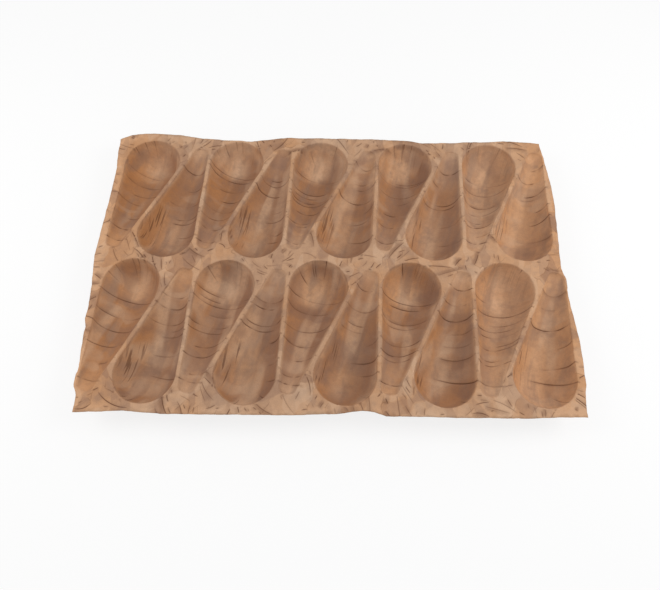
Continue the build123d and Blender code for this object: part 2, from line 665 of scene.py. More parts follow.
    def press_fold(self, depth: float, gate: Array, off: Array, dark: float) -> Array:
        """Presses one fold in, with painted shade in it.

        Args:
            depth: How deep, mm.
            gate: Where it runs, 0 to 1.
            off: Distance from its middle, mm.
            dark: How dark its painted shade is.

        Returns:
            How strongly it runs at each point, frayed along its length.
        """
        fray = np.clip(0.7 + 0.75 * self.noise(Noise.FRAY, 13.0), 0.1, 1.25)
        rows = np.arange(self.run.shape[1])
        frayed = gate * (rows <= self.face.wall_rows + 1) * fray
        cut = hump(off, self.crease_width) * frayed
        self.lift -= depth * cut
        self.mark = np.maximum(self.mark, cut * dark)
        return frayed

    def press_creases(self) -> None:
        """Presses the creases in: a cut, a ridge beside it, and painted shade in, beside and on the
        rim.
        """
        rows = np.arange(self.run.shape[1])
        wall = rows <= self.face.wall_rows + 1
        for crease in self.pocket.creases:
            beside = self.keel - crease.place
            gate = smooth(crease.start - 0.16, crease.start + 0.02, self.signed)
            gate = gate * smooth(crease.stop + 0.16, crease.stop - 0.02, self.signed)
            gate = gate * self.sideways
            notch = hump(np.abs(beside), self.notch_width) * gate * (rows > self.face.wall_rows)
            strength = np.clip(1.6 * crease.depth - 0.25, 0.0, 0.7)
            self.mark = np.maximum(self.mark, notch * strength)
            dark = 0.35 + 1.1 * crease.depth
            frayed = self.press_fold(crease.depth, gate, np.abs(beside), dark)
            self.lift += 0.35 * crease.depth * hump(beside - 3.0, 1.8) * (gate * wall)
            self.shade = np.maximum(self.shade, crease.shade * (hump(beside + 1.3, 2.4) * frayed))

    def press_wrinkles(self) -> None:
        """Presses the wrinkles in, from the rim down to their reach."""
        for wrinkle in self.pocket.wrinkles:
            off = np.abs(self.turn - wrinkle.turn) * np.maximum(self.run, 6.0)
            end = 1.0 - wrinkle.reach
            gate = smooth(end - 0.1, end + 0.1, self.across) * ~self.sideways
            self.press_fold(wrinkle.depth, gate, off, 0.45 + 0.8 * wrinkle.depth)

    def layers(self) -> Array:
        """What the finish reads at each point.

        Returns:
            Its layers in the order of LAYERS: the painted shade in the folds, the painted shade
                beside
            the creases and on the pocket's one side, how deep inside the hollow it lies, how strong
            the painted highlight on the bottom is, and whether fine dark strokes of painted shade
            may lie there.
        """
        pocket, manner, form = self.pocket, self.pocket.manner, self.pocket.form
        along, to_left = self.own[..., 0], -self.own[..., 1] * pocket.heading.value
        # how far inside the hollow, which also sets where the hollows' painted shade begins: deeper
        # round a far pocket's big end, weaker towards the tip
        big_end = smooth(0.2, -0.9, np.cos(self.turn)) * (pocket.heading is Heading.FAR)
        begins = -3.2 - (3.0 if pocket.at_far_side else 1.0) * big_end
        beyond = np.arange(self.run.shape[1]) - self.face.wall_rows
        within = smooth(self.face.rim_rows - 2.5, begins, beyond)
        tip = smooth(form.axis - 16.0, form.axis + form.tip_radius, along)
        within = within * (1.0 - 0.6 * tip)
        wander = self.noise(Noise.WANDER, 29.0)
        if pocket.heading is Heading.FAR:
            ahead = along + (9.0 if pocket.at_far_side else 2.0)
            strokes = 0.25 * smooth(6.0, -6.0, to_left) * smooth(10.0, -4.0, along)
        else:
            ahead = np.where(along > 0.0, 0.45 * along, along)
            strokes = smooth(8.0, 16.0, to_left) * smooth(-20.0, -6.0, along)
            strokes = strokes * smooth(48.0, 30.0, along)
        away = np.hypot(ahead, to_left - manner.highlight_at) + 5.0 * wander
        # painted shade over the pocket's right part, carried in the layer shade
        side_shade = smooth(1.5, -1.5, to_left - pocket.side_shade_from - 2.0 * wander)
        side_shade = side_shade * smooth(-34.0, -8.0, along) * smooth(105.0, 75.0, along) * within
        shade = np.maximum(self.shade, pocket.side_shade * side_shade)
        # painted highlight on the pocket's round bottom, strongest at its middle
        floor = manner.highlight_share * smooth(32.0, 9.0, away)
        strokes = strokes * smooth(0.35, 0.5, self.across) * within
        return np.stack([self.mark, shade, within, floor, strokes], axis=-1)

    def patch(self) -> Surface:
        """Joins the columns into one surface.

        Returns:
            The surface in the tray's frame, with the sheet's top at height 0.
        """
        pocket, (columns, rows) = self.pocket, self.run.shape
        steep = -np.sin(self.slope)
        ways = (steep * np.cos(self.turn), steep * np.sin(self.turn), np.cos(self.slope))
        solid = np.concatenate([self.own, -self.drop[..., None]], axis=-1)
        solid = solid + np.stack(ways, axis=-1) * self.lift[..., None]
        plan = solid[..., :2] @ pocket.turned() + np.array(pocket.centre)
        apart = np.full((columns, rows, 1), 50.0 * pocket.seed)
        mirror = np.array([1.0, -pocket.heading.value])
        table = [plan, solid[..., 2:], self.layers(), self.own * mirror, apart]
        grid = np.concatenate(table, axis=-1)
        keels = int(self.keel_of.max()) + 1
        ids = np.empty((columns, rows), int)
        ids[:, 0] = self.keel_of
        ids[:, 1:] = keels + np.arange(columns * (rows - 1)).reshape(columns, rows - 1)
        flat = np.empty((keels + columns * (rows - 1), grid.shape[-1]))
        flat[ids] = grid
        flat[:keels] = grid[:keels, 0]
        points, values, local = np.split(flat, (3, 3 + len(LAYERS)), axis=1)
        faces: list[tuple[int, ...]] = []
        for low, high in zip(ids, np.roll(ids, -1, axis=0)):
            for row in range(rows - 1):
                quad = (low[row], low[row + 1], high[row + 1], high[row])
                faces.append(quad if quad[0] != quad[3] else quad[:3])
        return Surface(points, faces, values, local, ids[:, -1].copy())


@dataclass(frozen=True)
class Outline:
    """The sheet's cut edge, from the same shares as the CAD model's.

    Attributes:
        half_x, half_y: Half the sheet's length and width, mm.
        left_free, right_free, end_free: Free flange beyond the rims at the left, at the right,
            and at the far and the near side, mm.
        step: Distance between the edge's points, mm.
        rim_gap, tip_gap: Least flange beyond a rim, and beyond a tip's corners, mm.
        far, right, near, left: Each side's corners, clockwise: the share of half the sheet's
            size along the side, and the share of the free flange that is cut away.
    """

    half_x: float = 299.988
    half_y: float = 200.0
    left_free: float = 8.9
    right_free: float = 4.9
    end_free: float = 10.0
    step: float = 3.0
    rim_gap: float = 0.5
    tip_gap: float = 1.4
    far: tuple[tuple[float, float], ...] = (
        (-0.947, 0.29), (-0.885, 0.02), (-0.835, 0.0), (-0.72, 0.17), (-0.605, 0.72), (-0.45, 0.96),
        (-0.38, 1.10), (-0.325, 0.86), (-0.21, 0.40), (0.19, 0.44), (0.36, 0.55), (0.43, 0.95),
        (0.585, 0.95), (0.64, 0.72), (0.70, 0.72), (0.81, 0.41), (0.926, 0.62), (0.978, 0.80),
    )
    right: tuple[tuple[float, float], ...] = (
        (0.883, 1.10), (0.73, 0.42), (0.58, 0.0), (0.43, 0.10), (0.22, 0.64), (0.06, 1.30),
        (-0.04, 1.55), (-0.10, 0.93), (-0.24, 0.94), (-0.35, 0.66), (-0.52, 0.14), (-0.64, 0.16),
        (-0.80, 0.58), (-0.855, 1.15),
    )
    near: tuple[tuple[float, float], ...] = (
        (0.975, 0.22), (0.89, 0.19), (0.755, 0.02), (0.53, 0.0), (0.217, 0.05), (0.172, 0.48),
        (0.128, 0.58), (0.04, 0.27), (-0.05, 0.15), (-0.14, 0.02), (-0.63, 0.0), (-0.69, 0.16),
        (-0.77, 0.32), (-0.90, 0.13), (-0.958, 0.08),
    )
    left: tuple[tuple[float, float], ...] = (
        (-0.90, 1.36), (-0.865, 1.15), (-0.82, 0.965), (-0.70, 0.965), (-0.60, 0.80), (-0.48, 0.78),
        (-0.425, 0.52), (-0.366, 0.65), (-0.245, 0.52), (-0.12, 0.25), (0.0, 0.0), (0.14, 0.14),
        (0.343, 0.28), (0.414, 0.41), (0.70, 0.52), (0.785, 0.29), (0.943, 0.20),
    )

    def corners(self) -> Array:
        """The edge's chosen points, clockwise from the far left corner."""
        points = [(self.half_x * a, self.half_y - self.end_free * b) for a, b in self.far]
        points += [(self.half_x - self.right_free * b, self.half_y * a) for a, b in self.right]
        points += [(self.half_x * a, -self.half_y + self.end_free * b) for a, b in self.near]
        points += [(-self.half_x + self.left_free * b, self.half_y * a) for a, b in self.left]
        return np.array(points)

    def points(self, pockets: list[Pocket]) -> Array:
        """The edge at even steps, counter-clockwise, with a slight fray between the corners.

        Args:
            pockets: The pockets; where a rim comes close, the edge bulges out round it.

        Returns:
            The edge's points in plan, mm.
        """
        corners = self.corners()[::-1]
        found = []
        for here, there in zip(corners, np.roll(corners, -1, axis=0)):
            count = max(1, round(float(np.hypot(*(there - here))) / self.step))
            found.append(here + (there - here) * (np.arange(count)[:, None] / count))
        edge = np.concatenate(found)
        way = np.roll(edge, -1, axis=0) - np.roll(edge, 1, axis=0)
        inward = np.stack([-way[:, 1], way[:, 0]], axis=1)
        inward /= np.linalg.norm(inward, axis=1, keepdims=True)
        fray = 0.4 + 0.45 * Noise.CUT.at(edge) + 0.25 * Noise.CUT_FINE.at(edge)
        edge += inward * np.maximum(fray, 0.0)[:, None]
        for pocket in pockets:
            form = pocket.form
            at_tip = pocket.local(edge)[:, 0] > form.axis - form.tip_radius
            wanted = form.rim + np.where(at_tip, self.tip_gap, self.rim_gap)
            edge -= inward * np.maximum(wanted - pocket.clearance(edge), 0.0)[:, None]
        return edge


@dataclass(frozen=True)
class Fold:
    """A short fold in the flange.

    Attributes:
        start, stop: Its two ends in plan, mm.
        bow: How far its middle lies beside the straight line, mm.
        depth: How deep it is pressed, 0 to 1.
        shade: How strongly the board on its one side is shaded, 0 for not at all.
        apart, spacing: Least distance of two folds, and distance between its points, mm.
    """

    start: tuple[float, float]
    stop: tuple[float, float]
    bow: float
    depth: float
    shade: float
    apart: float = 2.2
    spacing: float = 2.0

    def touches(self, other: "Fold") -> bool:
        """Whether another fold comes too close to this one."""
        lengths = math.dist(self.start, self.stop) + math.dist(other.start, other.stop)
        if math.dist(self.start, other.start) > lengths + 3.0:
            return False
        gaps = self.line(0.0)[:, None, :] - other.line(0.0)[None, :, :]
        return bool(np.hypot(gaps[..., 0], gaps[..., 1]).min() < self.apart)

    def axes(self) -> tuple[Array, Array, Array, float]:
        """Its start, the unit vectors along it and to its one side, and its length."""
        first, last = np.array(self.start), np.array(self.stop)
        length = float(np.linalg.norm(last - first))
        way = (last - first) / length
        return first, way, np.array([-way[1], way[0]]), length

    def line(self, offset: float) -> Array:
        """Places beside the fold.

        Args:
            offset: Distance to its one side, mm.

        Returns:
            A row of places, bowed as a parabola.
        """
        first, _, side, length = self.axes()
        share = np.linspace(0.0, 1.0, max(2, int(length / self.spacing)) + 1)[:, None]
        aside = 4.0 * self.bow * share * (1.0 - share) + offset
        return first + (np.array(self.stop) - first) * share + side * aside

    def offsets(self, plan: Array) -> tuple[Array, Array]:
        """Where places lie from the fold.

        Args:
            plan: The places, mm.

        Returns:
            The share of the fold's length that each lies beside, and its distance to one side.
        """
        first, way, side, length = self.axes()
        share = (plan - first) @ way / length
        within = np.clip(share, 0.0, 1.0)
        beyond = np.abs(share - within) * length
        aside = (plan - first) @ side - 4.0 * self.bow * within * (1.0 - within)
        past_end = np.hypot(aside, beyond) * np.where(aside < 0, -1.0, 1.0)
        return within, np.where(beyond > 0, past_end, aside)


@dataclass
class FlangeMaker:
    """Triangulates the flat board between the pockets' rims and the cut edge.

    Attributes:
        pockets: All pockets.
        edge: The cut edge, counter-clockwise.
        step: Distance between the inner points, mm.
        folds: Folds that get points of their own.
        fold_rows: Where those lie beside a fold, mm; the row at 0 comes first.
        rim_clear, edge_clear: Least distance of inner points from rims and from the edge, mm.
        merge: Distance at which the triangulation takes two points as one, mm.
    """

    pockets: list[Pocket]
    edge: Array
    step: float = 4.0
    folds: list[Fold] = field(default_factory=list)
    fold_rows: tuple[float, ...] = (0.0, -0.8, 0.8, 2.6)
    rim_clear: float = 1.4
    edge_clear: float = 0.6
    merge: float = 1e-5

    def free_points(self, seed: int) -> Array:
        """Jittered points of a triangle lattice, clear of the rims and of the edge.

        Args:
            seed: For the jitter.

        Returns:
            The points in plan, mm.
        """
        rng = np.random.default_rng(seed)
        low, high = self.edge.min(axis=0), self.edge.max(axis=0)
        xs = np.arange(low[0], high[0], self.step)
        ys = np.arange(low[1], high[1], self.step * 0.87)
        grid = np.stack(np.meshgrid(xs, ys, indexing="ij"), axis=-1)
        grid[:, 1::2, 0] += self.step / 2
        grid = grid.reshape(-1, 2) + rng.uniform(-0.3, 0.3, (grid.size // 2, 2)) * self.step
        return grid[self.on_flange(grid, 0.35 * self.step)]

    def on_flange(self, points: Array, margin: float) -> Array:
        """Whether places lie on the flange, with this margin more than the least distances."""
        keep = inside_polygon(points, self.edge)
        for pocket in self.pockets:
            keep &= pocket.clearance(points) > pocket.form.rim + self.rim_clear + margin
        return keep & (nearest(points, self.edge) > margin + self.edge_clear)

    def build(self, rings: list[Array], seed: int) -> tuple[Array, Array, Array]:
        """Triangulates the flange.

        Args:
            rings: Each pocket's outermost points in plan, counter-clockwise.
            seed: For the inner points' jitter.

        Returns:
            The points in plan, the triangles, and for each point its number among the points
            of the rings, of the edge and of the inside, or -1 where two lines cross.
        """
        points: list[Vector] = []
        edges: list[tuple[int, int]] = []
        for loop in [*rings, self.edge]:
            start, count = len(points), len(loop)
            edges += [(start + k, start + (k + 1) % count) for k in range(count)]
            points += [Vector(point) for point in loop]
        for fold in self.folds:
            for offset in self.fold_rows:
                line = fold.line(offset)
                clear = self.on_flange(line, 0.0)
                if offset == 0.0:
                    number = len(points) + np.cumsum(clear) - 1
                    both = clear[:-1] & clear[1:]
                    edges += zip(number[:-1][both].tolist(), number[1:][both].tolist())
                points += [Vector(point) for point in line[clear]]
        points += [Vector(point) for point in self.free_points(seed)]
        made, _, found, origins, _, _ = delaunay_2d_cdt(points, edges, [], 0, self.merge)
        plan = np.array([tuple(point) for point in made])
        cut = np.array([tuple(triangle) for triangle in found if len(triangle) == 3])
        middle = plan[cut].mean(axis=1)
        outside = ~inside_polygon(middle, self.edge)
        for ring in rings:
            outside |= inside_polygon(middle, ring)
        cut = cut[~outside]
        first, second, third = (plan[cut[:, corner]] for corner in range(3))
        flip = np.cross(second - first, third - first) < 0
        cut[flip] = cut[flip][:, ::-1]
        return plan, cut, np.array([origin[0] if origin else -1 for origin in origins])


def painted(red: int, green: int, blue: int) -> Colour:
    """Colour of a shader socket from its 0-255 values as a screen shows it."""
    parts = [value / 255.0 for value in (red, green, blue)]
    linear = [p / 12.92 if p <= 0.04045 else ((p + 0.055) / 1.055) ** 2.4 for p in parts]
    return (*linear, 1.0)


@dataclass(frozen=True)
class Fade:
    """A smooth change of a value.

    Attributes:
        low, high: Where the change begins and ends.
        to_low, to_high: The result up to low, and from high on.
    """

    low: float
    high: float
    to_low: float = 0.0
    to_high: float = 1.0


@dataclass(frozen=True)
class ShaderTools:
    """Short ways to add nodes to one material.

    Attributes:
        tree: The material's node tree.
    """

    tree: bpy.types.NodeTree

    def node(self, kind: str) -> bpy.types.Node:
        """Adds a node of this kind."""
        return self.tree.nodes.new(kind)

    def feed(self, socket: Output, value: Socket | Place) -> None:
        """Links a socket to an output, or sets its own value."""
        if isinstance(value, bpy.types.NodeSocket):
            self.tree.links.new(value, socket)
        else:
            socket.default_value = value

    def maths(self, operation: str, first: Socket, second: Socket = 0.0) -> Output:
        """One calculation on two values."""
        node = self.node("ShaderNodeMath")
        node.operation = operation
        self.feed(node.inputs[0], first)
        self.feed(node.inputs[1], second)
        return node.outputs[0]

    def vectors(self, operation: str, first: Output, second: Place) -> bpy.types.Node:
        """One calculation on two vectors."""
        node = self.node("ShaderNodeVectorMath")
        node.operation = operation
        self.feed(node.inputs[0], first)
        self.feed(node.inputs[1], second)
        return node

    def product(self, first: Socket, second: Socket) -> Output:
        """First times second."""
        return self.maths("MULTIPLY", first, second)

    def ramp(self, value: Socket, fade: Fade) -> Output:
        """What a fade makes of a value."""
        node = self.node("ShaderNodeMapRange")
        node.interpolation_type = "SMOOTHSTEP"
        names = ("Value", "From Min", "From Max", "To Min", "To Max")
        for name, part in zip(names, (value, fade.low, fade.high, fade.to_low, fade.to_high)):
            self.feed(node.inputs[name], part)
        return node.outputs["Result"]

    def mix(self, factor: Socket, first: Socket, second: Socket) -> Output:
        """Colour between first, at factor 0, and second, at factor 1."""
        node = self.node("ShaderNodeMix")
        node.data_type = "RGBA"
        for number, value in ((0, factor), (6, first), (7, second)):
            self.feed(node.inputs[number], value)
        return node.outputs[2]

    def attribute(self, name: str, output: str = "Fac") -> Output:
        """One of the mesh's own attributes."""
        node = self.node("ShaderNodeAttribute")
        node.attribute_name = name
        return node.outputs[output]

    def apart(self, vector: Output) -> bpy.types.NodeOutputs:
        """The three parts of a vector."""
        node = self.node("ShaderNodeSeparateXYZ")
        self.feed(node.inputs[0], vector)
        return node.outputs

    def noise(self, vector: Output, size: float, detail: float = 2.0) -> Output:
        """Smooth noise around 0.5.

        Args:
            vector: The coordinates, in m.
            size: Typical size of its patches, mm.
            detail: How many finer layers it has.

        Returns:
            The noise's value.
        """
        node = self.node("ShaderNodeTexNoise")
        parts = {"Scale": 1.0 / (size * MM), "Detail": detail, "Roughness": 0.57, "Vector": vector}
        for name, part in parts.items():
            self.feed(node.inputs[name], part)
        return node.outputs["Fac"]


@dataclass(frozen=True)
class Facets:
    """Straight-edged facets of crumpled board, with painted shade or painted light by each one's
    tone.

    Attributes:
        turn: Direction of a facet's shorter way, degrees.
        short, long: A facet's size in that direction and across it, mm.
        soft: How much the facets' tones run into each other, 0 for not at all.
        line: Half width of the folds along the borders, as a share of a facet; 0 for no folds.
        rare: How much of the borders has no fold, 0.3 for a little and 0.7 for nearly all.
        tone: How strong the facets' painted shade is, as a share of the mauve colour; their painted
        light is 0.7 of that, and it scales their relief too.
        drawn: How dark the painted shade in the folds is, 0 to 1.
    """

    turn: float
    short: float
    long: float
    soft: float
    line: float = 0.0
    rare: float = 0.0
    tone: float = 0.36
    drawn: float = 0.3

    def build(self, tools: ShaderTools, vector: Output) -> tuple[Socket, Output, Output]:
        """Adds the facets.

        The board is divided into the cells of points scattered in stretched coordinates, which
        are bent a little by noise. The distance to the nearest border gives the folds, and the
        distance to the cell's own point gives the relief.

        Args:
            tools: The material's tools.
            vector: The coordinates, in m.

        Returns:
            The painted shade of the folds, each facet's random tone from 0 to 1, which picks its
            painted shade or light, and the relief.
        """
        angle = math.radians(self.turn)
        ways = (
            (math.cos(angle) / self.short, math.sin(angle) / self.short, 0.0073),
            (-math.sin(angle) / self.long, math.cos(angle) / self.long, 0.0041),
        )
        joined = tools.node("ShaderNodeCombineXYZ")
        for number, way in enumerate(ways):
            dot = tools.vectors("DOT_PRODUCT", vector, tuple(part / MM for part in way))
            bend = tools.product(tools.noise(vector, 26.0 + 9.0 * number, 1.0), 1.3)
            straight = dot.outputs["Value"]
            tools.feed(joined.inputs[number], tools.maths("ADD", straight, bend))
        cells = self.cells(tools, joined.outputs[0], "SMOOTH_F1")
        cells.inputs["Smoothness"].default_value = self.soft
        tone = tools.node("ShaderNodeSeparateColor")
        tools.feed(tone.inputs[0], cells.outputs["Color"])
        dark: Socket = 0.0
        if self.line:
            borders = self.cells(tools, joined.outputs[0], "DISTANCE_TO_EDGE")
            shown = tools.noise(vector, 1.6 * self.short, 1.0)
            shown = tools.ramp(shown, Fade(self.rare, self.rare + 0.16))
            width = tools.product(shown, self.line)
            reach = tools.maths("SUBTRACT", width, borders.outputs["Distance"])
            dark = tools.product(tools.ramp(reach, Fade(0.0, 0.6 * self.line)), self.drawn)
        return dark, tone.outputs[0], cells.outputs["Distance"]

    def cells(self, tools: ShaderTools, vector: Output, feature: str) -> bpy.types.Node:
        """Adds the cells of scattered points, with one of their features."""
        node = tools.node("ShaderNodeTexVoronoi")
        node.feature = feature
        node.voronoi_dimensions = "2D"
        node.inputs["Scale"].default_value = 1.0
        tools.feed(node.inputs["Vector"], vector)
        return node


@dataclass(frozen=True)
class Tint:
    """Patches of another colour.

    Attributes:
        colour: The colour.
        size, detail: Typical size of the patches, mm, and how many finer layers they have.
        fade: How strong they are, from the noise's value.
        streaked: Whether they lie in the pockets only, drawn out along the axis.
    """

    colour: Colour
    size: float
    detail: float
    fade: Fade
    streaked: bool = False


@dataclass(frozen=True)
class KraftFinish:
    """Brown pressed board: mottled, a little fibrous, with painted shade in its folds.

    Attributes:
        flange, edge: The flat board's colour, and its colour towards the cut edge.
        pocket, floor: The darker colour of the pockets' hollows, which is painted shade, and the
            pale
        colour of the painted highlight on their round bottoms, of painted light and of pale
        streaks.
        warm: Colour that the board turns to towards its two short sides, and of the painted light
            on
        a pocket's left side.
        grey, mauve, pale: Colours of grey patches; of painted shade on facets and on a pocket's
            right
        side, and of fine mottles; and of painted light on facets.
        shadow, fold: Colours of the painted shade beside a fold and on a pocket's one side, and of
        the painted shade in the fold itself, which the fibre takes too.
        flat, hollow, wall: Where the flange is, where the pockets are, and where the hollows'
        painted shade is full, from the layer "inside".
        tip: How much of a pocket's painted shade gives way to the flange's colour towards the tip,
        from the way along its axis, m.
        left, right: Painted light and painted shade: how warm a pocket gets on its left and how
            mauve
        on its right, from the way to its left, m.
        sides, lit: How warm the board gets, and how pale from painted light towards its right side,
            from its x, m.
        lit_inside: How much of that painted light each place takes, from the layer "inside".
        patches, tints: Warm patches, and the others, each laid over those before.
        wide, deep: Facets of the flange, and of the pockets in each one's own coordinates.
        stroke, fibre: How dark the fine strokes of painted shade and the fibre are, from their
            noise.
        shading, darkest: The most that the shadow and the fold's colour cover.
        roughness, shine: How matt it is, and the strength of its reflection.
        bump, relief: Strength of the fine relief, and its height in m.
    """

    flange: Colour = painted(192, 152, 120)
    edge: Colour = painted(226, 187, 154)
    pocket: Colour = painted(164, 121, 91)
    floor: Colour = painted(224, 184, 149)
    warm: Colour = painted(202, 139, 82)
    grey: Colour = painted(147, 120, 103)
    mauve: Colour = painted(136, 104, 88)
    pale: Colour = painted(216, 182, 152)
    shadow: Colour = painted(128, 92, 70)
    fold: Colour = painted(88, 52, 32)
    flat: Fade = Fade(0.0, 0.6, 1.0, 0.0)
    hollow: Fade = Fade(0.15, 0.7)
    wall: Fade = Fade(0.45, 1.0)
    tip: Fade = Fade(0.07, 0.14, 0.0, 0.6)
    left: Fade = Fade(0.004, 0.024, 0.0, 0.42)
    right: Fade = Fade(-0.020, -0.003, 0.14, 0.0)
    sides: Fade = Fade(0.17, 0.30, 0.0, 0.5)
    lit: Fade = Fade(0.13, 0.26, 0.0, 0.8)
    lit_inside: Fade = Fade(0.0, 0.6, 0.3, 1.0)
    patches: Tint = Tint(warm, 70.0, 3.0, Fade(0.42, 0.66, 0.0, 0.35))
    tints: tuple[Tint, ...] = (
        Tint(grey, 17.0, 3.0, Fade(0.48, 0.68, 0.0, 0.5), streaked=True),
        Tint(floor, 24.0, 1.0, Fade(0.52, 0.66, 0.0, 0.5), streaked=True),
        Tint(grey, 21.0, 4.0, Fade(0.5, 0.72, 0.0, 0.4)),
        Tint(mauve, 5.3, 3.0, Fade(0.35, 0.75, 0.0, 0.2)),
    )
    wide: tuple[Facets, ...] = (
        Facets(6.0, 12.0, 30.0, 0.2, 0.045, 0.54), Facets(-38.0, 21.0, 40.0, 0.2, 0.030, 0.52),
    )
    deep: tuple[Facets, ...] = (Facets(7.0, 15.0, 42.0, 1.0), Facets(76.0, 15.0, 48.0, 1.0))
    stroke: Fade = Fade(0.57, 0.64, 0.0, 0.6)
    fibre: Fade = Fade(0.3, 0.75, 0.0, 0.12)
    shading: float = 0.42
    darkest: float = 0.9
    roughness: float = 0.82
    shine: float = 0.25
    bump: float = 0.5
    relief: float = 0.0009

    def ground(self, tools: ShaderTools, coord: Output, own: Output) -> Output:
        """The board's colour without its facets and folds.

        Args:
            tools: The material's tools.
            coord: Object coordinates.
            own: Coordinates of each pocket.

        Returns:
            The colour.
        """
        inside = tools.attribute("inside")
        hollow = tools.ramp(inside, self.hollow)
        ahead, to_left, _ = tools.apart(own)
        x = tools.apart(coord)[0]
        streaks = tools.vectors("MULTIPLY", own, (0.22, 1.0, 1.0)).outputs[0]
        sides = tools.ramp(tools.maths("ABSOLUTE", x), self.sides)
        patches = tools.noise(coord, self.patches.size, self.patches.detail)
        patches = tools.ramp(patches, self.patches.fade)
        # painted light: paler towards the right side, most inside the pockets
        lit = tools.product(tools.ramp(x, self.lit), tools.ramp(inside, self.lit_inside))
        colour: Socket = self.flange
        for share, over in (
            (tools.attribute("rim"), self.edge),
            # painted shade: the pockets' hollows darker than the flange
            (tools.ramp(inside, self.wall), self.pocket),
            # painted highlight on the pockets' round bottoms
            (tools.attribute("floor"), self.floor),
            (tools.product(tools.ramp(ahead, self.tip), hollow), self.flange),
            (lit, self.floor),
            # painted light on a pocket's left side, painted shade on its right
            (tools.product(tools.ramp(to_left, self.left), hollow), self.warm),
            (tools.product(tools.ramp(to_left, self.right), hollow), self.mauve),
            (tools.maths("MAXIMUM", sides, patches), self.patches.colour),
        ):
            colour = tools.mix(share, colour, over)
        for tint in self.tints:
            share = tools.noise(streaks if tint.streaked else coord, tint.size, tint.detail)
            share = tools.ramp(share, tint.fade)
            share = tools.product(share, hollow) if tint.streaked else share
            colour = tools.mix(share, colour, tint.colour)
        return colour

    def material(self) -> bpy.types.Material:
        """Makes the material.

        Returns:
            A shader of object coordinates and of the mesh's own attributes.
        """
        made = bpy.data.materials.new("kraft_board")
        made.use_nodes = True
        made.node_tree.nodes.clear()
        tools = ShaderTools(made.node_tree)
        coord = tools.node("ShaderNodeTexCoord").outputs["Object"]
        own, inside = tools.attribute("local", "Vector"), tools.attribute("inside")
        flat, hollow = tools.ramp(inside, self.flat), tools.ramp(inside, self.hollow)
        colour = self.ground(tools, coord, own)
        dark, height = tools.attribute("crease"), tools.product(tools.noise(coord, 6.2, 4.0), 0.4)
        facets = [(kind, coord, flat) for kind in self.wide]
        facets += [(kind, own, hollow) for kind in self.deep]
        for kind, vector, mask in facets:
            line, tone, relief = kind.build(tools, vector)
            # painted shade on the darkest facets and painted light on the brightest, by each one's
            # tone
            shaded = tools.ramp(tone, Fade(0.0, 0.4, kind.tone, 0.0))
            lit = tools.ramp(tone, Fade(0.6, 1.0, 0.0, 0.7 * kind.tone))
            colour = tools.mix(tools.product(shaded, mask), colour, self.mauve)
            colour = tools.mix(tools.product(lit, mask), colour, self.pale)
            dark = tools.maths("MAXIMUM", dark, tools.product(line, mask))
            relief = tools.product(tools.product(relief, mask), 3.0 * kind.tone)
            height = tools.maths("ADD", height, relief)
        drawn_out = tools.vectors("MULTIPLY", own, (0.055, 1.0, 1.0)).outputs[0]
        strokes = tools.ramp(tools.noise(drawn_out, 2.1, 1.0), self.stroke)
        strokes = tools.product(strokes, tools.attribute("strokes"))
        dark = tools.product(tools.maths("MAXIMUM", dark, strokes), 0.95)
        fibre = tools.noise(coord, 1.1, 4.0)
        shade = tools.product(tools.attribute("shade"), self.shading)
        colour = tools.mix(shade, colour, self.shadow)
        colour = tools.mix(tools.ramp(fibre, self.fibre), colour, self.fold)
        # painted shade in the folds, at the rims, along facet borders and in fine strokes
        colour = tools.mix(tools.maths("MINIMUM", dark, self.darkest), colour, self.fold)
        bump, shader = tools.node("ShaderNodeBump"), tools.node("ShaderNodeBsdfPrincipled")
        for node, name, value in (
            (bump, "Strength", self.bump),
            (bump, "Distance", self.relief),
            (bump, "Height", tools.maths("ADD", height, tools.product(fibre, 0.12))),
            (shader, "Roughness", self.roughness),
            (shader, "Specular IOR Level", self.shine),
            (shader, "Base Color", colour),
            (shader, "Normal", bump.outputs[0]),
        ):
            tools.feed(node.inputs[name], value)
        tools.feed(tools.node("ShaderNodeOutputMaterial").inputs[0], shader.outputs[0])
        return made


